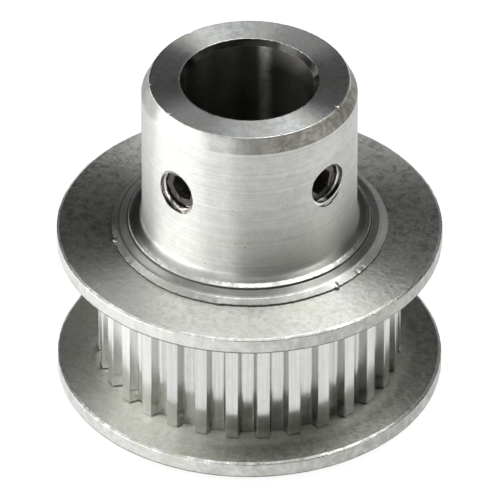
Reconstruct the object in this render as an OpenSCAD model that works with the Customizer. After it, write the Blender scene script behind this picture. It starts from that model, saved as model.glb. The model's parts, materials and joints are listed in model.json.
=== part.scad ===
// Timing belt pulley for a narrow MXL belt: a toothed body with a long clamping hub,
// two flat flanges pressed over its ends and staked there, and two set screws in the hub.
// The axis is +Z, the hub points up, and the origin is the centre of the lower end face.

/* [Toothed rim] */
// Number of belt grooves around the rim
tooth_count = 30; // [28:1:36]
// Belt pitch, measured along the belt's pitch line
belt_pitch = 2.032; // [2:0.008:2.08]
// Distance from the tooth tips out to the belt's pitch line
pitch_line_offset = 0.254; // [0.2:0.002:0.3]
// Depth of a groove below the tooth tips
groove_depth = 0.7; // [0.5:0.05:0.8]
// Width of a groove at its floor, before its corners are rounded
groove_floor_w = 0.84; // [0.7:0.02:0.9]
// Angle between the two sides of a groove
groove_angle = 28; // [20:1:40]
// Radius in the corners of a groove's floor
groove_corner_r = 0.2; // [0.1:0.05:0.3]
// Clear width between the two flanges, for the belt
belt_gap = 8.5; // [6.5:0.1:12]
// Turn of the grooves about the axis, from a groove centred on +X
groove_turn = 0.5; // [0:0.5:11.5]

/* [Flanges] */
// Outer diameter of a flange
flange_d = 24.1; // [22:0.1:28]
// Thickness of a flange
flange_t = 1.1; // [0.8:0.1:1.6]
// Hole in a flange, and the spigot of the body that it is pressed on
spigot_d = 16.2; // [15.9:0.05:16.6]

/* [Staked rims] */
// Height of the flat shoulder of the body above the upper flange
shoulder_rise = 0.78; // [0.7:0.02:1.1]
// Diameter of the sharp outer edge of that shoulder
shoulder_d = 15.04; // [14.6:0.02:15.2]
// How far the body's lower end face stands below the lower flange
end_rise = 0.5; // [0.45:0.05:0.8]
// Outer diameter of the metal that is rolled over a flange
stake_d = 17.24; // [17:0.02:17.6]
// Thickness of that rolled edge at its outer rim
stake_edge_t = 0.2; // [0.15:0.01:0.25]

/* [Hub and bore] */
// Diameter of the hub
hub_d = 13.4; // [12.6:0.1:14]
// Height of the hub above the upper flange
hub_rise = 11.15; // [9:0.05:14]
// Radial width of the chamfer around the top of the hub
hub_chamfer_w = 0.48; // [0.2:0.02:0.8]
// Height of that chamfer
hub_chamfer_h = 0.95; // [0.4:0.05:1.4]
// Bore for the shaft
bore_d = 8; // [5:0.5:8]
// Chamfer at both mouths of the bore
bore_chamfer = 0.34; // [0.2:0.02:0.5]
// Radius where the hub meets its shoulder
hub_fillet_r = 0.3; // [0.2:0.05:0.4]

/* [Set screws] */
// Diameter of a tapped hole, halfway up its thread
tapped_hole_d = 2.7; // [2.2:0.1:2.8]
// Height of the hole on the +X side above the upper flange
hole_rise_x = 6.35; // [4:0.05:7.5]
// Height of the hole on the -Y side above the upper flange
hole_rise_y = 6.05; // [4:0.05:7.5]
// Length of a set screw
screw_l = 2; // [2:0.5:3]
// Clearance all round a set screw in its hole
screw_clearance = 0.05; // [0.02:0.01:0.08]
// Distance from the bore's wall to the tip of a set screw, at rest
screw_setback = 0.1; // [0.05:0.05:0.4]
// Hexagon socket of a set screw, across its flats
socket_af = 1.5; // [1.2:0.1:1.5]
// Depth of that socket
socket_depth = 1.1; // [0.8:0.1:1.3]
// Chamfer at both ends of a set screw
screw_chamfer = 0.25; // [0.15:0.05:0.3]

/* [Hidden] */
$fn = 96;

tip_r = tooth_count * belt_pitch / PI / 2 - pitch_line_offset;
bore_r = bore_d / 2;
hub_r = hub_d / 2;
spigot_r = spigot_d / 2;
shoulder_r = shoulder_d / 2;
stake_r = stake_d / 2;

lower_flange_z = end_rise;
rim_z = lower_flange_z + flange_t;
upper_flange_z = rim_z + belt_gap;
flange_top_z = upper_flange_z + flange_t;
hub_top_z = flange_top_z + hub_rise;

// The staking tool cuts a small step at the shoulder's edge and rolls the metal outside it down.
step_w = 0.08;
step_drop = 0.18;
crest_r = spigot_r - 0.02;
crest_t = 0.3;
end_crest_t = 0.3;
// The shoulder falls slightly from the hub out to its edge.
shoulder_fall = 0.12;

screw_r = tapped_hole_d / 2 - screw_clearance;
screw_tip_r = bore_r + screw_setback;
overcut = 1;
// A groove is cut this far past the tooth tips.
mouth_overcut = 0.3;
// How far the hub's fillet sinks into the hub and the sloping shoulder, so that they join
fillet_sink = 0.1;
shoulder_slack = 0.05;

aluminium = [0.80, 0.81, 0.80];
bright_aluminium = [0.84, 0.84, 0.83];
black_steel = [0.13, 0.13, 0.14];

// Each side of a groove leans away from its centre line by this angle, and a corner's arc
// takes this much off the floor and off the side that meet there.
flank_lean = groove_angle / 2;
corner_run = groove_corner_r / tan((90 + flank_lean) / 2);

// A point on a groove's side, at a distance along it from the floor
function flank_point(run) = [
    groove_floor_w / 2 + run * sin(flank_lean),
    run * cos(flank_lean)
];

function mirrored(point) = [-point.x, point.y];

// One groove, with its floor on the X axis and its mouth towards +Y
module groove_outline() {
    floor_end = groove_floor_w / 2 - corner_run;
    flank_start = flank_point(corner_run);
    mouth = flank_point((groove_depth + mouth_overcut) / cos(flank_lean));
    polygon([
        [-floor_end, 0],
        [floor_end, 0],
        flank_start,
        mouth,
        mirrored(mouth),
        mirrored(flank_start)
    ]);
    for (side = [-1, 1]) {
        translate([side * floor_end, groove_corner_r]) circle(r = groove_corner_r);
    }
}

// Cross-section of the toothed rim
module tooth_section() {
    difference() {
        circle(r = tip_r);
        for (i = [0 : tooth_count - 1]) {
            rotate(groove_turn - 90 + i * 360 / tooth_count)
                translate([0, tip_r - groove_depth])
                    groove_outline();
        }
    }
}

// Everything on the body that is turned, as the half-section right of the axis
module body_profile() {
    fall_end = flange_top_z + shoulder_rise + shoulder_fall;
    polygon([
        [0, 0],
        [shoulder_r, 0],
        [shoulder_r + step_w, step_drop],
        [crest_r, end_rise - end_crest_t],
        [stake_r, end_rise - stake_edge_t],
        [stake_r, end_rise],
        [spigot_r, end_rise],
        [spigot_r, flange_top_z],
        [stake_r, flange_top_z],
        [stake_r, flange_top_z + stake_edge_t],
        [crest_r, flange_top_z + crest_t],
        [shoulder_r + step_w, flange_top_z + shoulder_rise - step_drop],
        [shoulder_r, flange_top_z + shoulder_rise],
        [hub_r, fall_end],
        [hub_r, hub_top_z - hub_chamfer_h],
        [hub_r - hub_chamfer_w, hub_top_z],
        [0, hub_top_z]
    ]);
    // Fillet between the hub and its shoulder
    difference() {
        translate([hub_r - fillet_sink, fall_end - fillet_sink])
            square(hub_fillet_r + fillet_sink);
        translate([hub_r + hub_fillet_r, fall_end + hub_fillet_r - shoulder_slack])
            circle(r = hub_fillet_r);
    }
}

// Bore with a chamfer at each mouth, as a half-section right of the axis
module bore_profile() {
    mouth_r = bore_r + bore_chamfer + overcut;
    polygon([
        [0, -overcut],
        [mouth_r, -overcut],
        [bore_r, bore_chamfer],
        [bore_r, hub_top_z - bore_chamfer],
        [mouth_r, hub_top_z + overcut],
        [0, hub_top_z + overcut]
    ]);
}

// Lays a shape that stands on its own Z axis along +X or along -Y, at a height
module along_x(height) {
    translate([0, 0, height]) rotate([0, 90, 0]) children();
}

module along_minus_y(height) {
    translate([0, 0, height]) rotate([90, 0, 0]) children();
}

module tapped_hole() {
    cylinder(h = hub_r + overcut, r = tapped_hole_d / 2);
}

module pulley_body() {
    color(aluminium) difference() {
        union() {
            rotate_extrude() body_profile();
            translate([0, 0, rim_z]) linear_extrude(belt_gap) tooth_section();
        }
        rotate_extrude() bore_profile();
        along_x(flange_top_z + hole_rise_x) tapped_hole();
        along_minus_y(flange_top_z + hole_rise_y) tapped_hole();
    }
}

// A flat ring, which both flanges are
module flange() {
    linear_extrude(flange_t) difference() {
        circle(r = flange_d / 2);
        circle(r = spigot_r);
    }
}

module upper_flange() {
    color(bright_aluminium) translate([0, 0, upper_flange_z]) flange();
}

module lower_flange() {
    color(bright_aluminium) translate([0, 0, lower_flange_z]) flange();
}

// Set screw with its tip at the lower end and its socket at the upper end
module set_screw() {
    difference() {
        rotate_extrude() polygon([
            [0, 0],
            [screw_r - screw_chamfer, 0],
            [screw_r, screw_chamfer],
            [screw_r, screw_l - screw_chamfer],
            [screw_r - screw_chamfer, screw_l],
            [0, screw_l]
        ]);
        translate([0, 0, screw_l - socket_depth])
            cylinder(h = socket_depth + overcut, d = socket_af / cos(30), $fn = 6);
    }
}

module set_screw_x() {
    color(black_steel) along_x(flange_top_z + hole_rise_x)
        translate([0, 0, screw_tip_r]) set_screw();
}

module set_screw_y() {
    color(black_steel) along_minus_y(flange_top_z + hole_rise_y)
        translate([0, 0, screw_tip_r]) set_screw();
}

pulley_body();
upper_flange();
lower_flange();
set_screw_x();
set_screw_y();
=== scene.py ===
import json
import math
import random

import bpy
import numpy as np
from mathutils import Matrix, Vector


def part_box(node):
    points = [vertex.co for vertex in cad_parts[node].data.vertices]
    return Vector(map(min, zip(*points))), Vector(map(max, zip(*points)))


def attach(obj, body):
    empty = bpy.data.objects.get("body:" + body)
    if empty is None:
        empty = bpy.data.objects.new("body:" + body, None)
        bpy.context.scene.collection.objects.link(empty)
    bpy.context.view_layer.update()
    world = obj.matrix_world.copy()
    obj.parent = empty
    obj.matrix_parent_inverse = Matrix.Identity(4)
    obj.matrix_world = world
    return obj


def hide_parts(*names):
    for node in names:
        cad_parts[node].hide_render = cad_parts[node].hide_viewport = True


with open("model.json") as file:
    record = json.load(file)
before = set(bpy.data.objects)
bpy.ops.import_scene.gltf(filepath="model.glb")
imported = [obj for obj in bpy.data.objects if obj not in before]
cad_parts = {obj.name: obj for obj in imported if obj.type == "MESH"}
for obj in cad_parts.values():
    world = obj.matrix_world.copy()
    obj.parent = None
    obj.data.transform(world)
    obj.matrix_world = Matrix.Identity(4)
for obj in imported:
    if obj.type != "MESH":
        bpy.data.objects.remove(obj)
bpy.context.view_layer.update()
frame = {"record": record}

MM = 0.001

# ---------------------------------------------------------------- sizes, all in millimetres

mounts = {mount["name"]: mount for mount in frame["record"]["mounts"]}


def node_box(node):
    low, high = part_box(node)
    return [value / MM for value in low], [value / MM for value in high]


body_low, body_high = node_box("pulley_body")
upper_low, upper_high = node_box("upper_flange")
lower_low, lower_high = node_box("lower_flange")
TIP_R = mounts["belt_seat"]["dims"]["r_mm"]
BORE_R = mounts["bore"]["dims"]["r_mm"]
HUB_TOP = body_high[2]
END_Z = body_low[2]
FLANGE_R = upper_high[0]
FLANGE_TOP = upper_high[2]
RIM_TOP = upper_low[2]
RIM_BASE = lower_high[2]
LOWER_FLANGE_BASE = lower_low[2]

# The toothed rim
TOOTH_COUNT = 30
GROOVE_DEPTH = 0.7
GROOVE_FLOOR_W = 0.84
GROOVE_LEAN = math.radians(14)
GROOVE_CORNER_R = 0.2
TIP_EDGE_R = 0.05
GROOVE_TURN = math.radians(0.5)
RIM_EDGE_R = 0.06
RIM_ROWS = 6
BODY_COLUMNS = 480

# The spigots, and the edges rolled over the flanges
SPIGOT_R = 8.1
STAKE_R = 8.62
STAKE_EDGE_T = 0.2
TOP_STAKE_EDGE_T = 0.75 * STAKE_EDGE_T
STAKE_CORNER_R = 0.03
CREST_R = SPIGOT_R - 0.02
CREST_T = 0.3
TOP_CREST_R = 8.25
TOP_CREST_T = 0.383

# The hub and the shoulder at its foot
SHOULDER_R = 7.52
SHOULDER_RISE = 0.78
SHOULDER_FALL = 0.12
SHOULDER_EDGE_W = 0.24
SHOULDER_EDGE_T = 0.11
SHOULDER_EDGE_RISE = 0.03
STEP_W = 0.08
STEP_DROP = 0.18
TOP_STEP_DROP = STEP_DROP + 0.04
HUB_R = 6.7
HUB_CHAMFER_W = 0.48
HUB_CHAMFER_H = 0.95
HUB_FILLET_R = 0.45
BORE_CHAMFER = 0.34
MOUTH_R = BORE_R + BORE_CHAMFER
HUB_EDGE_R = HUB_R - HUB_CHAMFER_W

# The flanges
FLANGE_EDGE_W = 0.20
FLANGE_EDGE_T = 0.12
FLANGE_COLUMNS = 480
FLANGE_LONGEST = 0.6
FLANGE_NICK_SIZE = 0.025
FLANGE_NICK_REACH = 0.3

# The tapped holes and the set screws, M3. A thread's two numbers are where its flank starts and how wide it is,
# as parts of half a pitch. Columns of points stand round the axis, and steps are counted along each turn.
THREAD_PITCH = 0.5
THREAD_R = 1.5
HOLE_CREST_R = 1.25
HOLE_THREAD = (0.2, 0.62)
HOLE_MARGIN = 0.5
CUTTER_START_R = BORE_R - 1.2
CUTTER_END_R = HUB_R + 0.6
COUNTERSINK_DEPTH = 0.12
COUNTERSINK_STEP = 0.14
COUNTERSINK_SLOPE = 0.9
COUNTERSINK_R = THREAD_R + 0.02
HOLE_COLUMNS = 48
HOLE_STEPS = 10
SCREW_ROOT_R = 1.185
SCREW_CREST_R = 1.425
SCREW_THREAD = (0.15, 0.6)
SCREW_CHAMFER = 0.25
SCREW_END_STEP = 0.02
SOCKET_AF = 1.5
SOCKET_DEPTH = 1.1
SOCKET_MOUTH_R = 1.02
SOCKET_EDGE = 0.06
DRILL_R = 0.3
DRILL_EDGE_DEPTH = 0.12
DRILL_DEPTH = 0.2
CUP_R = 0.62
CUP_DEPTH = 0.35
CENTRE_R = 0.02
SCREW_COLUMNS = 96
SCREW_STEPS = 14

# ---------------------------------------------------------------- small helpers


def new_object(name, verts, faces, smooth=True):
    """Makes a mesh object from points in millimetres."""
    mesh = bpy.data.meshes.new(name)
    mesh.from_pydata([tuple(c * MM for c in v) for v in verts], [], faces)
    mesh.validate()
    mesh.update()
    if smooth:
        mesh.shade_smooth()
    piece = bpy.data.objects.new(name, mesh)
    bpy.context.scene.collection.objects.link(piece)
    return piece


def rounded(corners, closed=True, guard=0.03, steps=4):
    """Turns corners (x, y, radius) into an outline with true arcs, and a guard point beside each."""
    outline = []
    count = len(corners)
    for i, (x, y, radius) in enumerate(corners):
        if radius <= 0 or (not closed and i in (0, count - 1)):
            outline.append((x, y))
            continue
        here = np.array([x, y])
        to_last = np.array(corners[i - 1][:2]) - here
        to_next = np.array(corners[(i + 1) % count][:2]) - here
        len_last, len_next = np.linalg.norm(to_last), np.linalg.norm(to_next)
        to_last, to_next = to_last / len_last, to_next / len_next
        half = math.acos(max(-1, min(1, float(to_last @ to_next)))) / 2
        run = min(radius / math.tan(half), 0.45 * len_last, 0.45 * len_next)
        radius = run * math.tan(half)
        bisector = to_last + to_next
        centre = here + bisector / np.linalg.norm(bisector) * radius / math.sin(half)
        start, end = here + to_last * run, here + to_next * run
        if len_last > run + 2.5 * guard:
            outline.append(tuple(start + to_last * guard))
        angle_a = math.atan2(*(start - centre)[::-1])
        angle_b = math.atan2(*(end - centre)[::-1])
        sweep = (angle_b - angle_a + math.pi) % (2 * math.pi) - math.pi
        for k in range(steps + 1):
            angle = angle_a + sweep * k / steps
            outline.append(tuple(centre + radius * np.array([math.cos(angle), math.sin(angle)])))
        if len_next > run + 2.5 * guard:
            outline.append(tuple(end + to_next * guard))
    return outline


def subdivided(outline, longest):
    """Adds points so that no stretch of an outline is longer than this."""
    result = []
    for (xa, ya), (xb, yb) in zip(outline, outline[1:] + outline[:1]):
        parts = max(1, math.ceil(math.hypot(xb - xa, yb - ya) / longest))
        result += [(xa + (xb - xa) * k / parts, ya + (yb - ya) * k / parts) for k in range(parts)]
    return result


def ring_faces(rows, columns, close_rows=True):
    """Faces of a grid that closes around its columns, and around its rows too if asked."""
    last = rows if close_rows else rows - 1
    return joined_rings([j % rows * columns for j in range(last + 1)], columns)


def joined_rings(firsts, columns):
    """Faces between rings of points, each given by its first point's number."""
    faces = []
    for a, b in zip(firsts, firsts[1:]):
        faces.extend((a + i, a + (i + 1) % columns, b + (i + 1) % columns, b + i) for i in range(columns))
    return faces


def turned_points(rows, columns, wobble):
    """The points of a profile (r, z) turned round Z; wobble(r, z, angle) nudges each of them."""
    points = []
    for row in rows:
        for i in range(columns):
            angle = 2 * math.pi * i / columns
            r, z = wobble(*row, angle)
            points.append((r * math.cos(angle), r * math.sin(angle), z))
    return points


def zipped(ring_a, ring_b):
    """Triangles that join two rings of a different number of points; each ring is [(angle, index), ...]."""
    faces = []
    i = j = 0
    while i < len(ring_a) or j < len(ring_b):
        a, b = ring_a[i % len(ring_a)][1], ring_b[j % len(ring_b)][1]
        next_a, next_b = ring_a[(i + 1) % len(ring_a)], ring_b[(j + 1) % len(ring_b)]
        reach_a = next_a[0] + (2 * math.pi if i + 1 >= len(ring_a) else 0)
        reach_b = next_b[0] + (2 * math.pi if j + 1 >= len(ring_b) else 0)
        if j >= len(ring_b) or (i < len(ring_a) and reach_a <= reach_b):
            faces.append((a, next_a[1], b))
            i += 1
        else:
            faces.append((a, next_b[1], b))
            j += 1
    return faces


def screw_place(node):
    """The direction in which a set screw backs out, its height, its tip's distance from Z, and its length."""
    low, high = node_box(node)
    middle = [(a + b) / 2 for a, b in zip(low, high)]
    axis = Vector((1, 0, 0)) if abs(middle[0]) > abs(middle[1]) else Vector((0, -1, 0))
    tip = min(abs(low[0]), abs(high[0])) if axis.x else min(abs(low[1]), abs(high[1]))
    length = high[0] - low[0] if axis.x else high[1] - low[1]
    return axis, middle[2], tip, length


SCREWS = {node: screw_place(node) for node in ("set_screw_x", "set_screw_y")}
HOLES = [(axis, height) for axis, height, tip, length in SCREWS.values()]


def wave_noise(seed, frequencies, size):
    """A smooth periodic function of angle, made of seeded waves."""
    draw = random.Random(seed)
    waves = [(f, draw.uniform(0, 2 * math.pi), draw.uniform(0.5, 1)) for f in frequencies]
    total = sum(share for frequency, phase, share in waves)

    def value(angle):
        return size * sum(share * math.sin(f * angle + phase) for f, phase, share in waves) / total

    return value


def peak(angle, middle, width):
    """A smooth bump of height 1 at one angle; middle and width in degrees."""
    away = (math.degrees(angle) - middle + 180) % 360 - 180
    return math.exp(-(away / width) ** 2)


# ---------------------------------------------------------------- materials


class Nodes:
    """Builds a node tree with short calls; an input is a number, a colour or another node's socket."""

    def __init__(self, name):
        self.material = bpy.data.materials.new(name)
        self.material.use_nodes = True
        self.tree = self.material.node_tree
        self.shader = self.tree.nodes["Principled BSDF"]

    def add(self, kind, **inputs):
        node = self.tree.nodes.new("ShaderNode" + kind)
        for key, value in inputs.items():
            self.put(node, key, value)
        return node

    def put(self, node, key, value):
        """Sets or links one input, given by its name or, as in i0, by its number."""
        numbered = key[0] == "i" and key[1:].isdigit()
        self.join(node.inputs[int(key[1:])] if numbered else node.inputs[key.replace("_", " ")], value)

    def join(self, socket, value):
        if isinstance(value, bpy.types.NodeSocket):
            self.tree.links.new(value, socket)
        else:
            socket.default_value = value

    def math(self, operation, a, b=0.0, c=0.0):
        node = self.add("Math", i0=a, i1=b, i2=c)
        node.operation = operation
        return node.outputs[0]

    def fold(self, operation, first, *rest):
        for value in rest:
            first = self.math(operation, first, value)
        return first

    def times(self, *factors):
        return self.fold("MULTIPLY", *factors)

    def largest(self, *values):
        return self.fold("MAXIMUM", *values)

    def hypotenuse(self, a, b):
        return self.math("SQRT", self.math("ADD", self.times(a, a), self.times(b, b)))

    def noise(self, vector, scale, detail=2.0, roughness=0.5, distortion=0.0):
        return self.add("TexNoise", Vector=vector, Scale=scale, Detail=detail, Roughness=roughness,
                        Distortion=distortion).outputs["Fac"]

    def ramp(self, value, low, high, low_out=0.0, high_out=1.0):
        """Eases from low_out to high_out while the value goes from low to high."""
        node = self.add("MapRange", Value=value)
        node.interpolation_type = "SMOOTHSTEP"
        for key, number in (("From Min", low), ("From Max", high), ("To Min", low_out), ("To Max", high_out)):
            node.inputs[key].default_value = number
        return node.outputs[0]

    def span(self, value, starts, full, fades, gone):
        """1 between full and fades, 0 before starts and after gone."""
        return self.times(self.ramp(value, starts, full), self.ramp(value, fades, gone, 1.0, 0.0))

    def facing(self, angle, middle, *ramp):
        """A ramp over the cosine of the way round from one direction: 1 is there, -1 is opposite."""
        return self.ramp(self.math("COSINE", self.math("SUBTRACT", angle, middle)), *ramp)

    def mix(self, factor, a, b):
        node = self.tree.nodes.new("ShaderNodeMix")
        node.data_type = "RGBA"
        self.put(node, "i0", factor)
        for name, value in (("A", a), ("B", b)):
            socket = [s for s in node.inputs if s.name == name and s.type == "RGBA"][0]
            self.join(socket, value if isinstance(value, bpy.types.NodeSocket) else (*value, 1))
        return [s for s in node.outputs if s.type == "RGBA"][0]

    def bump(self, height, strength, distance):
        """Roughens the shader's surface; distance in millimetres."""
        node = self.add("Bump", Height=height, Strength=strength, Distance=distance * MM)
        self.put(self.shader, "Normal", node.outputs[0])


class Here:
    """A place on the surface in millimetres, with its distance from the axis and the angle round it.

    aluminium() adds two noises, blotch and grain, that the stains, painted shades and painted highlights share
    with the metal's own mottling.
    """

    def __init__(self, nodes):
        scaled = nodes.add("VectorMath", i0=nodes.add("TexCoord").outputs["Object"])
        scaled.operation = "SCALE"
        scaled.inputs["Scale"].default_value = 1 / MM
        self.place = scaled.outputs[0]
        self.x, self.y, self.z = nodes.add("SeparateXYZ", Vector=self.place).outputs
        self.radius = nodes.hypotenuse(self.x, self.y)
        self.angle = nodes.math("ARCTAN2", self.y, self.x)


# Directions round the axis, in radians from +X. The front is between the two set screws.
FRONT = -0.82
LEFT = -2.39
BACK_LEFT = -2.74
RIGHT = 0.67

# The sides of the part that get painted shade, and the side of the hub chamfer's stain: the angles at which
# each starts, is full, begins to fade and has gone
SHADED_SIDE_SPAN = (-1.35, -0.75, 2.0, 2.6)
SHADED_TEETH_SPAN = (-1.9, -1.2, 2.0, 2.6)
WALL_SHADE_SPAN = (-1.35, -0.1, 2.0, 2.6)
CHAMFER_STAIN_SPAN = (-1.4, -0.4, 0.8, 1.4)
FOOT_SHADE_SPAN = (-1.1, -0.6, 0.3, 1.0)

# Painted highlights along the bore: angle of the middle, half width and strength
BORE_PAINTED_HIGHLIGHTS = ((2.08, 0.15, 1.0), (2.66, 0.26, 0.3), (1.25, 0.6, 0.3))

PIT_COLOUR = (0.05, 0.045, 0.04)
THREAD_ROOT_DARK = (0.07, 0.055, 0.04)
BROWN_SPECKS = (0.235, 0.207, 0.16)
# Painted shade and painted highlights from here down; the flange's one also holds real smudges
SLOPE_PAINTED_SHADE = (0.12, 0.115, 0.105)
FOOT_PAINTED_SHADE = (0.33, 0.335, 0.295)
GROOVE_PAINTED_SHADE = (0.10, 0.10, 0.08)
FLANGE_PAINTED_SHADE = (0.10, 0.10, 0.075)
FLANGE_SHADOW_AND_SMUDGE = (0.2, 0.205, 0.185)
WALL_PAINTED_SHADE = (0.3, 0.3, 0.275)
BORE_HIGHLIGHT_COLOUR = (1.0, 0.97, 0.88)
RING_PAINTED_SHADE = (0.2, 0.2, 0.185)
RING_PAINTED_HIGHLIGHT = (1.0, 1.0, 0.98)


# Each of the next functions gives an amount from 0 to 1 and the colour that is mixed in by that amount.


def thread_root_darkening(nodes, here):
    """Darker in the thread's roots than on its crests, in the two tapped holes."""
    reach = []
    for node, sideways in (("set_screw_x", here.y), ("set_screw_y", here.x)):
        reach.append(nodes.hypotenuse(nodes.math("SUBTRACT", here.z, SCREWS[node][1]), sideways))
    in_root = nodes.ramp(nodes.math("MINIMUM", *reach), HOLE_CREST_R + 0.04, HOLE_CREST_R + 0.13, 0.0, 0.93)
    return nodes.times(in_root, nodes.ramp(here.radius, HUB_R - 0.16, HUB_R - 0.1, 1.0, 0.0)), THREAD_ROOT_DARK


def chamfer_stain(nodes, here):
    """Brown specks on one side of the hub's chamfer."""
    specks = nodes.math("ADD", nodes.ramp(here.blotch, 0.4, 0.6, 0.4, 0.75),
                        nodes.ramp(here.grain, 0.5, 0.66, 0.0, 0.35))
    side = nodes.span(here.angle, *CHAMFER_STAIN_SPAN)
    return nodes.times(side, nodes.math("MINIMUM", specks, 0.92)), BROWN_SPECKS


def slope_painted_shade(nodes, here):
    """Painted shade, in place of a dark reflection, on the slope round the hub's foot and on its edge,
    everywhere but in front.
    """
    away = nodes.facing(here.angle, FRONT, 0.15, 0.65, 0.88, 0.0)
    on_slope = nodes.span(here.radius, HUB_R + 0.05, HUB_R + 0.2, SHOULDER_R - 0.04, SHOULDER_R + 0.02)
    above_flange = nodes.ramp(here.z, FLANGE_TOP, FLANGE_TOP + 0.1)
    return nodes.times(away, nodes.times(on_slope, above_flange)), SLOPE_PAINTED_SHADE


def foot_painted_shade(nodes, here):
    """A slightly yellow painted shade, in place of a dark reflection, on the foot of the hub on one side, and
    the slope's painted shade below it.
    """
    foot = nodes.times(nodes.span(here.angle, *FOOT_SHADE_SPAN),
                       nodes.ramp(here.z, FLANGE_TOP + 0.6, HUB_TOP - 3.5, 0.62, 0.0))
    slope, slope_shade = slope_painted_shade(nodes, here)
    return nodes.largest(foot, slope), nodes.mix(slope, FOOT_PAINTED_SHADE, slope_shade)


def groove_painted_shade(nodes, here):
    """Painted shade in the lower ends of the grooves, where the teeth keep light off, and a thinner painted
    shade all over the teeth on one side.
    """
    low = nodes.times(nodes.ramp(here.z, RIM_BASE + 0.1, RIM_BASE + 2.4, 0.6, 0.0),
                      nodes.span(here.angle, *SHADED_SIDE_SPAN),
                      nodes.ramp(here.radius, TIP_R - 0.14, TIP_R - 0.05, 1.0, 0.0))
    teeth_shade = nodes.times(nodes.span(here.angle, *SHADED_TEETH_SPAN), 0.35)
    return nodes.largest(low, teeth_shade), GROOVE_PAINTED_SHADE


def lower_flange_painted_shade(nodes, here):
    """Painted shade on top of the lower flange, on the side that the upper flange shades: lighter beside the
    teeth, in uneven patches.
    """
    return nodes.times(nodes.ramp(here.radius, TIP_R + 0.2, TIP_R + 1.1, 0.12, 0.6),
                       nodes.span(here.angle, *SHADED_SIDE_SPAN),
                       nodes.ramp(here.z, RIM_BASE - 0.3, RIM_BASE - 0.1),
                       nodes.ramp(here.blotch, 0.3, 0.7, 0.6, 1.0)), FLANGE_PAINTED_SHADE


def wall_painted_shade(nodes, here):
    """Painted shade on the flanges' outer walls, in patches, which grows more slowly towards the shaded side.
    """
    side = nodes.span(here.angle, *WALL_SHADE_SPAN)
    return nodes.times(side, nodes.ramp(here.blotch, 0.3, 0.7, 0.5, 0.85)), WALL_PAINTED_SHADE


def flange_shadow_and_smudges(nodes, here):
    """Dark patches on the upper flange: a dense painted shadow of the hub at the back left, and loose ones
    everywhere but in front, partly smudges and partly painted shade.
    """
    patches = nodes.noise(here.place, 1.5, detail=6.0, roughness=0.75, distortion=0.6)
    patches = nodes.ramp(patches, 0.44, 0.64)
    painted_hub_shadow = nodes.times(nodes.facing(here.angle, BACK_LEFT, 0.5, 0.95, 0.0, 0.6),
                        nodes.math("MULTIPLY_ADD", patches, 0.55, 0.82))
    patchy_shade_and_smudges = nodes.times(patches, nodes.facing(here.angle, FRONT, 0.1, 0.8, 0.55, 0.08))
    return nodes.largest(painted_hub_shadow, patchy_shade_and_smudges), FLANGE_SHADOW_AND_SMUDGE


def bore_painted_highlights(nodes, here):
    """Painted highlights along the bore, fading with depth."""
    highlight_marks = []
    for middle, half_width, strength in BORE_PAINTED_HIGHLIGHTS:
        away = nodes.math("ABSOLUTE", nodes.math("SUBTRACT", here.angle, middle))
        highlight_marks.append(nodes.ramp(away, 0.0, half_width, strength, 0.0))
    fade = nodes.times(nodes.ramp(here.z, HUB_TOP - 9, HUB_TOP - 1, 0.3, 0.9),
                       nodes.ramp(here.blotch, 0.35, 0.6, 0.6, 1.0))
    return nodes.times(nodes.largest(*highlight_marks), fade), BORE_HIGHLIGHT_COLOUR


def rolled_ring_painted_light(nodes, here):
    """Painted shade on the rolled ring's inner slope, turning to a painted highlight on the left, and a painted
    highlight on its outer edge on the right.
    """
    inner = nodes.span(here.radius, SHOULDER_R + 0.1, SHOULDER_R + 0.2,
                       TOP_CREST_R - 0.22, TOP_CREST_R - 0.08)
    outer = nodes.ramp(here.radius, TOP_CREST_R - 0.2, TOP_CREST_R - 0.1)
    lit_part = nodes.largest(nodes.times(inner, nodes.facing(here.angle, LEFT, 0.5, 0.9, 0.0, 0.95)),
                           nodes.times(outer, nodes.facing(here.angle, RIGHT, 0.5, 0.9, 0.0, 0.95)))
    colour = nodes.mix(nodes.ramp(lit_part, 0.0, 0.6), RING_PAINTED_SHADE, RING_PAINTED_HIGHLIGHT)
    return nodes.largest(nodes.times(inner, 0.55), lit_part), colour


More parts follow.
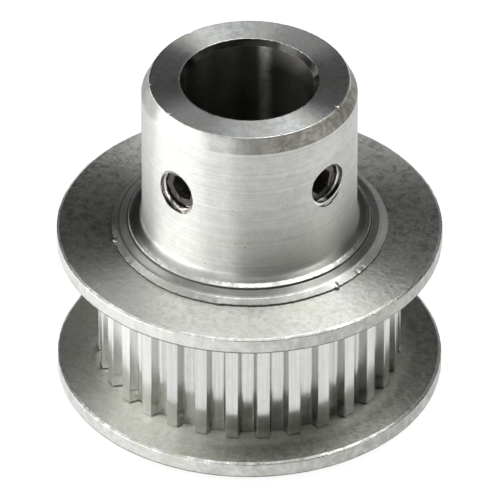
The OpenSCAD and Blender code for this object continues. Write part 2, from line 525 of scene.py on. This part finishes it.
def aluminium(name, colour, roughness, anisotropy, lines=0.2, line_bump=0.5, mottle=0.3, blotch_bump=0.0,
              pits=0.4, axial=False, line_scale=6.0, blotch_scale=1.7, extra=None):
    """Bare aluminium: fine tool lines, dull and bright patches, warm stains and a few pits.

    The lines run round the axis, or along it if axial. extra is one of the functions above.
    """
    nodes = Nodes(name)
    here = Here(nodes)
    if axial:
        line_place = (nodes.times(here.angle, 60.0), nodes.times(here.z, 0.12), here.radius)
    else:
        line_place = (nodes.times(here.radius, line_scale), nodes.times(here.z, line_scale),
                      nodes.times(here.angle, 0.5))
    line_place = nodes.add("CombineXYZ", i0=line_place[0], i1=line_place[1], i2=line_place[2]).outputs[0]
    fine = nodes.noise(line_place, 1.0, detail=4.0, roughness=0.75)
    broad = nodes.noise(line_place, 0.22, detail=2.0)
    cloud = nodes.noise(here.place, 0.45, detail=3.0, roughness=0.55)
    here.blotch = nodes.noise(here.place, blotch_scale, detail=6.0, roughness=0.72, distortion=0.4)
    here.grain = nodes.noise(here.place, 9.0, detail=4.0, roughness=0.65)
    dents = nodes.add("TexVoronoi", Vector=here.place, Scale=1.4, Randomness=1.0).outputs["Distance"]
    pit = nodes.times(nodes.ramp(dents, 0.03, 0.09, 1.0, 0.0), nodes.ramp(cloud, 0.5, 0.62))

    dark = tuple(c * 0.55 for c in colour)
    light = tuple(min(1.0, c * 1.25) for c in colour)
    warm = (colour[0] * 0.80, colour[1] * 0.77, colour[2] * 0.66)
    tone = nodes.mix(nodes.ramp(fine, 0.35, 0.68, 0.0, 0.8 * lines), colour, dark)
    tone = nodes.mix(nodes.ramp(broad, 0.5, 0.7, 0.0, 0.5 * lines), tone, light)
    tone = nodes.mix(nodes.ramp(here.blotch, 0.42, 0.66, 0.0, 0.9 * mottle), tone, dark)
    tone = nodes.mix(nodes.ramp(here.blotch, 0.52, 0.30, 0.0, 0.6 * mottle), tone, light)
    tone = nodes.mix(nodes.ramp(cloud, 0.45, 0.7, 0.0, 0.7 * mottle), tone, warm)
    tone = nodes.mix(nodes.ramp(here.grain, 0.5, 0.75, 0.0, 0.7 * mottle), tone, dark)
    tone = nodes.mix(nodes.times(pit, pits), tone, PIT_COLOUR)
    if extra:
        amount, stain = extra(nodes, here)
        tone = nodes.mix(amount, tone, stain)
    nodes.put(nodes.shader, "Base Color", tone)
    nodes.put(nodes.shader, "Metallic", 1.0)
    nodes.put(nodes.shader, "Anisotropic", anisotropy)
    patchy = nodes.ramp(here.blotch, 0.3, 0.7, roughness - 0.08 * mottle, roughness + 0.10 * mottle)
    nodes.put(nodes.shader, "Roughness", nodes.math("ADD", patchy, nodes.ramp(fine, 0.3, 0.7, -0.02, 0.03)))
    tangent = nodes.add("Tangent")
    tangent.direction_type = "RADIAL"
    tangent.axis = "Z"
    nodes.put(nodes.shader, "Tangent", tangent.outputs[0])
    if not axial:
        nodes.put(nodes.shader, "Anisotropic Rotation", 0.25)

    height = nodes.times(fine, line_bump)
    for source, size in ((here.blotch, blotch_bump), (here.grain, 0.12 * mottle), (pit, -1.5 * pits)):
        height = nodes.math("MULTIPLY_ADD", source, size, height)
    nodes.bump(height, 0.6, 0.02)
    return nodes.material


def black_steel(name):
    """Black-oxide steel with worn, oily patches."""
    nodes = Nodes(name)
    here = Here(nodes)
    worn = nodes.noise(here.place, 2.2, detail=5.0, roughness=0.65)
    grain = nodes.noise(here.place, 16.0, detail=3.0)
    tone = nodes.mix(nodes.ramp(worn, 0.45, 0.75, 0.0, 0.6), (0.12, 0.113, 0.108), (0.42, 0.38, 0.34))
    nodes.put(nodes.shader, "Base Color", tone)
    nodes.put(nodes.shader, "Metallic", 0.9)
    nodes.put(nodes.shader, "Roughness", nodes.ramp(worn, 0.3, 0.7, 0.36, 0.5))
    nodes.bump(grain, 0.4, 0.01)
    return nodes.material


# The turned hub wall carries the painted shade at its foot
turned = aluminium("turned_aluminium", (0.745, 0.755, 0.725), 0.42, 0.93, lines=0.42, line_bump=1.0,
                   mottle=0.2, line_scale=7.5, pits=0.9, extra=foot_painted_shade)
faced = aluminium("faced_aluminium", (0.69, 0.71, 0.70), 0.42, 0.93, lines=0.25, line_bump=0.8,
                  mottle=0.75, blotch_bump=1.3)
rolled = aluminium("rolled_aluminium", (0.57, 0.575, 0.55), 0.38, 0.88, lines=0.3, line_bump=0.3,
                   mottle=0.4, blotch_bump=0.5, extra=rolled_ring_painted_light)
stained = aluminium("stained_aluminium", (0.70, 0.71, 0.68), 0.42, 0.93, lines=0.2, line_bump=0.5,
                    mottle=0.2, extra=chamfer_stain)
# The teeth and groove flanks carry the grooves' painted shade
toothed = aluminium("hobbed_aluminium", (0.97, 0.972, 0.955), 0.22, 0.9, lines=0.4, line_bump=0.2,
                    mottle=0.12, axial=True, extra=groove_painted_shade)
groove_flank = aluminium("hobbed_flank_aluminium", (0.95, 0.95, 0.94), 0.22, 0.9, lines=0.25, line_bump=0.2,
                         mottle=0.12, axial=True, extra=groove_painted_shade)
tumbled = aluminium("tumbled_aluminium", (0.95, 0.96, 0.91), 0.44, 0.92, lines=0.12, line_bump=0.3,
                    mottle=0.55, blotch_bump=2.4, blotch_scale=2.7, pits=0.9, extra=flange_shadow_and_smudges)
tumbled_warm = aluminium("tumbled_warm_aluminium", (0.90, 0.905, 0.83), 0.46, 0.92, lines=0.12, line_bump=0.3,
                         mottle=0.42, blotch_bump=2.4, blotch_scale=2.7, pits=0.9, extra=lower_flange_painted_shade)
sheared = aluminium("sheared_aluminium", (0.71, 0.715, 0.69), 0.36, 0.6, lines=0.15, line_bump=0.3,
                    mottle=0.4, blotch_bump=1.0, extra=wall_painted_shade)
# A darker copy of the wall finish: painted shade for the lower flange's wall
sheared_shaded = aluminium("sheared_dull_aluminium", (0.66, 0.665, 0.64), 0.36, 0.6, lines=0.15, line_bump=0.3,
                         mottle=0.5, blotch_bump=1.0, extra=wall_painted_shade)
# The bore and its mouth are coloured very dark: painted shade of the deep bore
reamed = aluminium("reamed_aluminium", (0.18, 0.176, 0.155), 0.37, 0.93, lines=0.6, line_bump=0.8,
                   mottle=0.4, line_scale=3.0, extra=bore_painted_highlights)
bore_edge = aluminium("bore_edge_aluminium", (0.14, 0.136, 0.125), 0.2, 0.8, lines=0.3, line_bump=0.3,
                      mottle=0.5)
# Burnished edges also carry the slope's painted shade
burnished = aluminium("burnished_aluminium", (0.80, 0.80, 0.78), 0.3, 0.4, lines=0.1, line_bump=0.1,
                      mottle=0.9, blotch_bump=1.5, extra=slope_painted_shade)
# Painted shade for the flanges' rounded lower edges
sheared_low = aluminium("sheared_low_aluminium", (0.27, 0.27, 0.26), 0.4, 0.4, lines=0.3, line_bump=0.3,
                        mottle=0.9)
# Painted shade for the dark lines at the foot of the teeth, in the shoulder's step and at its seam
crease_shade = aluminium("grimy_aluminium", (0.13, 0.125, 0.11), 0.4, 0.4, lines=0.3, line_bump=0.2, mottle=0.8)
threaded = aluminium("tapped_aluminium", (0.70, 0.69, 0.67), 0.22, 0.0, lines=0.1, line_bump=0.1,
                     mottle=0.2, extra=thread_root_darkening)
screw_steel = black_steel("black_oxide_steel")

# ---------------------------------------------------------------- the toothed body


def groove_side():
    """Half of one groove and of the land beside it, as (angle from the groove's centre, radius)."""
    floor_r = TIP_R - GROOVE_DEPTH
    half_floor = GROOVE_FLOOR_W / 2
    mouth_x = half_floor + GROOVE_DEPTH * math.tan(GROOVE_LEAN)
    half_pitch = math.pi / TOOTH_COUNT
    outline = rounded([
        (0, floor_r, 0),
        (half_floor, floor_r, GROOVE_CORNER_R),
        (mouth_x, math.sqrt(TIP_R ** 2 - mouth_x ** 2), TIP_EDGE_R),
        (TIP_R * math.sin(half_pitch), TIP_R * math.cos(half_pitch), 0),
    ], closed=False, guard=0.02, steps=3)
    return [(math.atan2(x, y), math.hypot(x, y)) for x, y in outline]


def tooth_outline():
    """Angle and radius of every point around the rim, in the order of their angles."""
    side = groove_side()
    tooth = [(-a, r) for a, r in side[:0:-1]] + side[:-1]
    outline = []
    for k in range(TOOTH_COUNT):
        middle = GROOVE_TURN + 2 * math.pi * k / TOOTH_COUNT
        outline += [((middle + a) % (2 * math.pi), r) for a, r in tooth]
    return sorted(outline)


def body_rows():
    """The outline (r, z) below the rim, from the bore outwards, and the one above it, back down the bore.

    Each corner is given with the radius of its rounding.
    """
    shoulder_top = FLANGE_TOP + SHOULDER_RISE
    lower = rounded([
        (MOUTH_R, END_Z, 0.03),
        (SHOULDER_R, END_Z, 0.04),
        (SHOULDER_R + STEP_W, END_Z + STEP_DROP, 0.03),
        (CREST_R, LOWER_FLANGE_BASE - CREST_T, 0.05),
        (STAKE_R, LOWER_FLANGE_BASE - STAKE_EDGE_T, STAKE_CORNER_R),
        (STAKE_R, LOWER_FLANGE_BASE, 0),
        (SPIGOT_R, LOWER_FLANGE_BASE, 0),
        (SPIGOT_R, RIM_BASE, 0),
    ], closed=False, steps=2)
    upper = rounded([
        (SPIGOT_R, RIM_TOP, 0),
        (SPIGOT_R, FLANGE_TOP, 0),
        (STAKE_R, FLANGE_TOP, 0),
        (STAKE_R, FLANGE_TOP + TOP_STAKE_EDGE_T, STAKE_CORNER_R),
        (TOP_CREST_R, FLANGE_TOP + TOP_CREST_T, 0.08),
        (SHOULDER_R + STEP_W, shoulder_top - TOP_STEP_DROP, 0.03),
        (SHOULDER_R, shoulder_top - SHOULDER_EDGE_T, 0.03),
        (SHOULDER_R - SHOULDER_EDGE_W, shoulder_top + SHOULDER_EDGE_RISE, 0.12),
        (HUB_R, shoulder_top + SHOULDER_FALL, HUB_FILLET_R),
        (HUB_R, HUB_TOP - HUB_CHAMFER_H, 0.08),
        (HUB_EDGE_R, HUB_TOP, 0.09),
        (MOUTH_R, HUB_TOP, 0.07),
        (BORE_R, HUB_TOP - BORE_CHAMFER, 0.02),
        (BORE_R, END_Z + BORE_CHAMFER, 0.05),
        (MOUTH_R, END_Z, 0),
    ], closed=False, steps=3)[:-1]
    return lower, upper


def dense_rows(rows, wall_step, face_step):
    """Splits the walls where the tapped holes pass, and the faces above the flange for their nicked edges."""
    heights = [height for axis, height in HOLES]
    low, high = min(heights) - THREAD_R - HOLE_MARGIN, max(heights) + THREAD_R + HOLE_MARGIN
    result = []
    for (ra, za), (rb, zb) in zip(rows, rows[1:]):
        result.append((ra, za))
        if ra == rb and min(za, zb) < low and max(za, zb) > high:
            parts = math.ceil((high - low) / wall_step)
            stops = [low + (high - low) * k / parts for k in range(parts + 1)]
            result += [(ra, z) for z in (stops if zb > za else stops[::-1])]
        elif ra != rb and min(za, zb) > FLANGE_TOP:
            parts = math.ceil(math.hypot(rb - ra, zb - za) / face_step)
            result += [(ra + (rb - ra) * k / parts, za + (zb - za) * k / parts) for k in range(1, parts)]
    return result + rows[-1:]


# Small burrs on the upper rolled edge: size, and middle and width in degrees
BURRS = ((1.0, -8, 0.7), (0.6, -123.8, 0.6), (0.35, -60, 1.2))
BURR_REACH = 0.22
BURR_LIFT = 0.09
# The unevenness starts this far out, and stays this close to the flange
TORN_FROM_R = CREST_R + 0.2
TORN_WITHIN = STAKE_EDGE_T + 0.06


def stake_wobble(top):
    """The rolled edge's unevenness: its outer rim wanders and is slightly torn."""
    reach = wave_noise(11 if top else 12, [2, 3, 5, 9, 14, 23, 61, 83, 121, 157, 181, 211], 0.09)
    lift = wave_noise(13 if top else 14, [3, 4, 7, 31, 53, 89, 113, 149, 197], 0.035)
    flange = FLANGE_TOP if top else LOWER_FLANGE_BASE
    away = 1 if top else -1

    def wobble(r, z, angle):
        if r < TORN_FROM_R or abs(z - flange) > TORN_WITHIN:
            return r, z
        share = (r - CREST_R) / (STAKE_R - CREST_R)
        burr = sum(size * peak(angle, middle, width) for size, middle, width in BURRS) if top else 0
        r += share * (reach(angle) + BURR_REACH * burr)
        if (z - flange) * away > 0.05:
            z += share * away * (lift(angle) + BURR_LIFT * burr)
        return r, z

    return wobble


# Nicks in the hub's top edge: middle and width in degrees
EDGE_NICKS = ((-190, 1.4), (-131, 1.0), (-100, 0.6), (-28, 0.7), (14, 0.9))
NICK_DEPTH = 0.06
EDGE_WEAR = 0.013
EDGE_REACH = 0.16
MOUTH_REACH = 0.12
edge_wave = wave_noise(31, [29, 41, 67, 89, 113, 139, 167, 193], 0.02)
mouth_wave = wave_noise(32, [31, 47, 71, 97, 127, 151], 0.012)


def edge_wobble(r, z, angle):
    """Small nicks and an uneven line along the top edge of the hub and the mouth of the bore."""
    near_edge = max(0, 1 - math.hypot(r - HUB_EDGE_R, z - HUB_TOP) / EDGE_REACH)
    near_mouth = max(0, 1 - math.hypot(r - MOUTH_R, z - HUB_TOP) / MOUTH_REACH)
    if near_edge:
        nick = NICK_DEPTH * sum(peak(angle, middle, width) for middle, width in EDGE_NICKS)
        r -= near_edge * (EDGE_WEAR + edge_wave(angle) + nick)
        z -= near_edge * nick
    if near_mouth:
        r += near_mouth * mouth_wave(angle)
    return r, z


def thread_rise(along, share, start, flank):
    """How far a right-hand thread has risen from its lowest, 0 to 1, with its flank given as for HOLE_THREAD.

    along is the distance from Z, and share is the part of the way round the screw's axis.
    """
    turn = (along / THREAD_PITCH - share) % 1
    return min(1, max(0, (abs(turn - 0.5) * 2 - start) / flank))


def screw_solid(name, axis, height, start, rows, columns):
    """A closed solid round a screw's axis, with a flat cap on its first row and on its last.

    A row is (distance from start, shape), and shape(distance, share of the way round) gives its radius.
    """
    side = axis.orthogonal().normalized()
    other = axis.cross(side)
    verts = []
    for along, shape in rows:
        for i in range(columns):
            angle = 2 * math.pi * i / columns
            outwards = side * math.cos(angle) + other * math.sin(angle)
            point = axis * (start + along) + outwards * shape(along, i / columns)
            verts.append((point.x, point.y, point.z + height))
    faces = ring_faces(len(rows), columns, close_rows=False)
    for first, (along, shape) in ((0, rows[0]), ((len(rows) - 1) * columns, rows[-1])):
        hub = len(verts)
        verts.append((axis.x * (start + along), axis.y * (start + along), height))
        for i in range(columns):
            a, b = first + i, first + (i + 1) % columns
            faces.append((a, b, hub) if first else (b, a, hub))
    return new_object(name, verts, faces)


def tapped_cutter(axis, height):
    """A right-hand M3 thread as a solid, from inside the bore to outside the hub, where it widens."""
    length = CUTTER_END_R - CUTTER_START_R

    def thread(along, share):
        r = HOLE_CREST_R + (THREAD_R - HOLE_CREST_R) * thread_rise(along, share, *HOLE_THREAD)
        past_mouth = along - (HUB_R - COUNTERSINK_DEPTH)
        widened = min(HOLE_CREST_R + past_mouth * COUNTERSINK_SLOPE + COUNTERSINK_STEP, COUNTERSINK_R)
        return max(r, widened) if past_mouth > 0 else r

    count = math.ceil(length / THREAD_PITCH * HOLE_STEPS)
    rows = [(CUTTER_START_R + length * j / count, thread) for j in range(count + 1)]
    return screw_solid("cutter", axis, height, 0, rows, HOLE_COLUMNS)


def cut(piece, cutter):
    """Takes the cutter's shape out of the piece, and removes the cutter."""
    modifier = piece.modifiers.new("cut", "BOOLEAN")
    modifier.operation = "DIFFERENCE"
    modifier.solver = "MANIFOLD"
    modifier.object = cutter
    bpy.context.view_layer.objects.active = piece
    with bpy.context.temp_override(object=piece, active_object=piece):
        bpy.ops.object.modifier_apply(modifier=modifier.name)
    mesh = cutter.data
    bpy.data.objects.remove(cutter)
    bpy.data.meshes.remove(mesh)


def make_body():
    """The rim's rows follow the teeth; the rows below and above it are round."""
    lower, upper = body_rows()
    upper = dense_rows(upper, wall_step=0.35, face_step=0.18)
    nudges = (stake_wobble(True), stake_wobble(False), edge_wobble)
    outline = tooth_outline()

    def wobble(r, z, angle):
        for nudge in nudges:
            r, z = nudge(r, z, angle)
        return r, z

    rim_rows = [(-RIM_EDGE_R, RIM_BASE), (0, RIM_BASE + RIM_EDGE_R)]
    rim_rows += [(0, RIM_BASE + (RIM_TOP - RIM_BASE) * k / RIM_ROWS) for k in range(1, RIM_ROWS)]
    rim_rows += [(0, RIM_TOP - RIM_EDGE_R), (-RIM_EDGE_R, RIM_TOP)]

    verts = turned_points(lower, BODY_COLUMNS, wobble)
    lower_rings = [k * BODY_COLUMNS for k in range(len(lower))]
    rim_rings = [len(verts) + k * len(outline) for k in range(len(rim_rows))]
    for inset, z in rim_rows:
        verts += [((r + inset) * math.cos(angle), (r + inset) * math.sin(angle), z) for angle, r in outline]
    upper_rings = [len(verts) + k * BODY_COLUMNS for k in range(len(upper))]
    verts += turned_points(upper, BODY_COLUMNS, wobble)

    def round_ring(first):
        return [(2 * math.pi * i / BODY_COLUMNS, first + i) for i in range(BODY_COLUMNS)]

    def tooth_ring(first):
        return [(angle, first + i) for i, (angle, r) in enumerate(outline)]

    faces = joined_rings(lower_rings, BODY_COLUMNS)
    faces += zipped(round_ring(lower_rings[-1]), tooth_ring(rim_rings[0]))
    faces += joined_rings(rim_rings, len(outline))
    faces += zipped(tooth_ring(rim_rings[-1]), round_ring(upper_rings[0]))
    faces += joined_rings(upper_rings + lower_rings[:1], BODY_COLUMNS)
    piece = new_object("pulley_body_turned", verts, faces)
    for axis, height in HOLES:
        cut(piece, tapped_cutter(axis, height))
    piece.data.materials.clear()
    for material in BODY_FINISHES:
        piece.data.materials.append(material)
    for face in piece.data.polygons:
        face.material_index = BODY_FINISHES.index(finish_at(face.center / MM, face.normal))
    piece.data.set_sharp_from_angle(angle=math.radians(35))
    return piece


BODY_FINISHES = (turned, toothed, threaded, reamed, burnished, rolled, crease_shade, stained, groove_flank, faced,
                 bore_edge)

# Edges rubbed bright: radius, height, and how far from the edge the rubbing reaches
WORN_EDGES = (
    (HUB_EDGE_R, HUB_TOP, 0.08),
    (MOUTH_R, HUB_TOP, 0.07),
    (SHOULDER_R - SHOULDER_EDGE_W / 2, FLANGE_TOP + SHOULDER_RISE - SHOULDER_EDGE_T / 2, 0.16),
    (TOP_CREST_R, FLANGE_TOP + TOP_CREST_T, 0.06),
    (SHOULDER_R, END_Z, 0.05),
)


def in_tapped_hole(centre):
    """Whether a place on the body is on the wall of one of the two holes."""
    for axis, height in HOLES:
        off = centre - Vector((0, 0, height))
        along = off.dot(axis)
        if along > 0 and (off - axis * along).length < THREAD_R + 0.04:
            return True
    return False


def finish_at(centre, normal):
    """The finish of the body's surface at a place given in millimetres."""
    radius = math.hypot(centre.x, centre.y)
    rise = centre.z - FLANGE_TOP
    if radius > TIP_R - GROOVE_DEPTH - 0.05 and RIM_BASE - 0.01 < centre.z < RIM_TOP + 0.01:
        # A painted shade line at the foot of the teeth
        if centre.z < RIM_BASE + RIM_EDGE_R:
            return crease_shade
        outwards = (centre.x * normal.x + centre.y * normal.y) / radius
        return groove_flank if abs(outwards) < 0.6 and abs(normal.z) < 0.5 else toothed
    if radius < BORE_R + 0.01:
        return reamed
    if radius < MOUTH_R - 0.03 and centre.z > HUB_TOP - BORE_CHAMFER:
        return bore_edge
    if any(math.hypot(radius - r, centre.z - z) < reach for r, z, reach in WORN_EDGES):
        return burnished
    if radius < HUB_R - 0.012 and in_tapped_hole(centre):
        return threaded
    if centre.z > HUB_TOP - 0.02:
        return faced
    if centre.z > HUB_TOP - HUB_CHAMFER_H + 0.03:
        return stained
    if 0 < rise < SHOULDER_RISE + 0.3 and radius > SHOULDER_R - 0.25:
        on_step = SHOULDER_R < radius < SHOULDER_R + STEP_W + 0.07 and rise < SHOULDER_RISE - SHOULDER_EDGE_T
        at_seam = radius > SPIGOT_R and normal.z < 0.35
        return crease_shade if on_step or at_seam else rolled
    return turned


body = make_body()
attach(body, "pulley")
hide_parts("pulley_body")

# ---------------------------------------------------------------- the flanges


def make_flange(name, base, top, seed, face_finish, wall_finish):
    """A sheared ring: flat faces, and an outer wall whose upper edge is bevelled and slightly uneven."""
    outline = rounded([
        (SPIGOT_R, base, 0.02),
        (FLANGE_R, base, 0.16),
        (FLANGE_R, top - FLANGE_EDGE_T, 0.06),
        (FLANGE_R - FLANGE_EDGE_W, top, 0.08),
        (SPIGOT_R, top, 0.02),
    ])
    outline = subdivided(outline, FLANGE_LONGEST)
    nicks = wave_noise(seed, [7, 11, 17, 29, 43, 59, 73, 91, 107, 131], FLANGE_NICK_SIZE)

    def wobble(r, z, angle):
        near = max(0, 1 - (FLANGE_R - r) / FLANGE_NICK_REACH)
        return r + near * (nicks(angle) - FLANGE_NICK_SIZE), z

    points = turned_points(outline, FLANGE_COLUMNS, wobble)
    piece = new_object(name, points, ring_faces(len(outline), FLANGE_COLUMNS))
    for finish in (face_finish, burnished, wall_finish, sheared_low):
        piece.data.materials.append(finish)
    # The bevel is burnished, the wall has its own finish, and the rounded lower edge gets a painted shade
    for face in piece.data.polygons:
        centre = face.center / MM
        if math.hypot(centre.x, centre.y) > FLANGE_R - FLANGE_EDGE_W - 0.1 and face.normal.z < 0.98:
            face.material_index = 1 if face.normal.z > 0.3 else 2 if face.normal.z > -0.15 else 3
    piece.data.set_sharp_from_angle(angle=math.radians(50))
    return piece


for node, low, high, seed, *finishes in (
        ("upper_flange", upper_low, upper_high, 21, tumbled, sheared),
        ("lower_flange", lower_low, lower_high, 22, tumbled_warm, sheared_shaded)):
    ring = make_flange(node + "_ring", low[2], high[2], seed, *finishes)
    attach(ring, "pulley")
    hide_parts(node)

# ---------------------------------------------------------------- the set screws


def disc(radius):
    """A round row of a screw_solid."""
    return lambda along, share: radius


def hexagon(inner_radius):
    """A hexagonal row of a screw_solid; the radius is that of its flats."""
    def shape(along, share):
        angle = 2 * math.pi * share
        return inner_radius / math.cos((angle + math.pi / 6) % (math.pi / 3) - math.pi / 6)

    return shape


def make_set_screw(name, axis, height, tip, length):
    """A hexagon-socket set screw with a right-hand M3 thread and a cup point."""
    end_r = SCREW_CREST_R - SCREW_CHAMFER
    socket_r = SOCKET_AF / 2
    floor = length - SOCKET_DEPTH

    def thread(along, share):
        rise = thread_rise(along + tip, share, *SCREW_THREAD)
        r = SCREW_ROOT_R + (SCREW_CREST_R - SCREW_ROOT_R) * rise
        return min(r, end_r + min(along, length - along))

    count = math.ceil(length / THREAD_PITCH * SCREW_STEPS)
    rows = [
        (CUP_DEPTH, disc(CENTRE_R)),
        (CUP_DEPTH / 2, disc(CUP_R / 2)),
        (0.0, disc(CUP_R)),
        (0.0, disc(end_r)),
    ]
    rows += [(length * k / count, thread) for k in range(count + 1)]
    rows += [
        (length, disc(end_r - SCREW_END_STEP)),
        (length, disc(SOCKET_MOUTH_R)),
        (length, hexagon(socket_r + SOCKET_EDGE)),
        (length - SOCKET_EDGE, hexagon(socket_r)),
        (floor, hexagon(socket_r)),
        (floor - DRILL_EDGE_DEPTH, disc(DRILL_R)),
        (floor - DRILL_DEPTH, disc(CENTRE_R)),
    ]
    piece = screw_solid(name, axis, height, tip, rows, SCREW_COLUMNS)
    piece.data.materials.append(screw_steel)
    piece.data.set_sharp_from_angle(angle=math.radians(38))
    return piece


for node, ride_on in (("set_screw_x", "screw_x"), ("set_screw_y", "screw_y")):
    screw = make_set_screw(node + "_threaded", *SCREWS[node])
    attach(screw, ride_on)
    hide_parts(node)

# ---------------------------------------------------------------- floor, light and camera

scene = bpy.context.scene
scene.view_settings.view_transform = "Standard"

VIEW_AZIMUTH = math.radians(43.2)
VIEW_ELEVATION = math.radians(36.57)
VIEW_DISTANCE = 0.831
AIM_HEIGHT = 9.2 * MM
PIXELS_PER_MM = 16.034
FRAME_SIDE = 500
SENSOR = 36.0
SIDEWAYS_SHIFT = 0.001
CLIP_END = 20
LIGHT_DISTANCE = 0.5
FLOOR_HALF = 1500
FLOOR_GAP = 0.02
FLOOR_GLOW = 1.0


def direction(azimuth, elevation):
    """A unit vector that points away from the object; azimuth 0 is towards the camera, + to its right."""
    turn = VIEW_AZIMUTH + azimuth
    level = math.cos(elevation)
    return Vector((math.sin(turn) * level, -math.cos(turn) * level, math.sin(elevation)))


def stand_back(thing, azimuth, elevation, distance):
    """Places a camera or a light at this distance from the object, looking at it."""
    target = Vector((0, 0, AIM_HEIGHT))
    thing.location = target + direction(azimuth, elevation) * distance
    thing.rotation_euler = (target - thing.location).to_track_quat("-Z", "Y").to_euler()
    scene.collection.objects.link(thing)


def make_camera():
    camera = bpy.data.objects.new("camera", bpy.data.cameras.new("camera"))
    stand_back(camera, 0, VIEW_ELEVATION, VIEW_DISTANCE)
    camera.data.sensor_width = SENSOR
    camera.data.lens = PIXELS_PER_MM / MM * VIEW_DISTANCE * SENSOR / FRAME_SIDE
    camera.data.shift_x = SIDEWAYS_SHIFT
    camera.data.clip_end = CLIP_END
    scene.camera = camera


def make_softbox(name, azimuth, elevation, width, height, radiance):
    """A rectangular light; its angles are in degrees, azimuth 0 being the camera's side."""
    light = bpy.data.objects.new(name, bpy.data.lights.new(name, "AREA"))
    light.data.shape = "RECTANGLE"
    light.data.size = 2 * LIGHT_DISTANCE * math.tan(math.radians(width) / 2)
    light.data.size_y = 2 * LIGHT_DISTANCE * math.tan(math.radians(height) / 2)
    light.data.energy = radiance * math.pi * light.data.size * light.data.size_y
    stand_back(light, math.radians(azimuth), math.radians(elevation), LIGHT_DISTANCE)


def make_floor():
    """A pale floor that glows evenly, with a painted shadow where the part stands: the glow fades to nothing
    under it.
    """
    square = ((-1, -1), (1, -1), (1, 1), (-1, 1))
    corners = [(x * FLOOR_HALF, y * FLOOR_HALF, END_Z - FLOOR_GAP) for x, y in square]
    floor = new_object("floor", corners, [(0, 1, 2, 3)], smooth=False)
    nodes = Nodes("pale_floor")
    nodes.put(nodes.shader, "Base Color", (0.12, 0.12, 0.12, 1))
    nodes.put(nodes.shader, "Roughness", 0.9)
    nodes.put(nodes.shader, "Emission Color", (1, 1, 1, 1))
    glow_with_painted_shadow = nodes.ramp(Here(nodes).radius, 0.6 * FLANGE_R, 1.05 * FLANGE_R, 0.0, FLOOR_GLOW)
    nodes.put(nodes.shader, "Emission Strength", glow_with_painted_shadow)
    floor.data.materials.append(nodes.material)


def make_world():
    world = bpy.data.worlds.new("studio")
    world.use_nodes = True
    background = world.node_tree.nodes["Background"]
    background.inputs["Color"].default_value = (0.010, 0.010, 0.010, 1)
    background.inputs["Strength"].default_value = 1.0
    scene.world = world


make_camera()
make_world()
make_floor()
make_softbox("left_softbox", -75, 8, 60, 16, 6.8)
make_softbox("front_left_strip", -30, 8, 30, 16, 3.4)
make_softbox("back_left_strip", -120, 8, 30, 16, 1.4)
make_softbox("left_bounce", -92, 46, 48, 20, 1.6)
make_softbox("right_fill", 55, 8, 80, 16, 0.4)
make_softbox("back_right_fill", 148, 28, 40, 28, 0.25)
make_softbox("overhead_right_softbox", 118, 66, 24, 22, 5.9)
make_softbox("overhead_left_softbox", -60, 67, 24, 22, 1.2)
make_softbox("overhead_back_softbox", 180, 67, 24, 22, 0.8)
make_softbox("front_fill", 0, 24, 50, 12, 0.8)
make_softbox("low_right_softbox", 85, 22, 30, 16, 0.8)
make_softbox("top_softbox", 0, 89.9, 24, 24, 3.0)
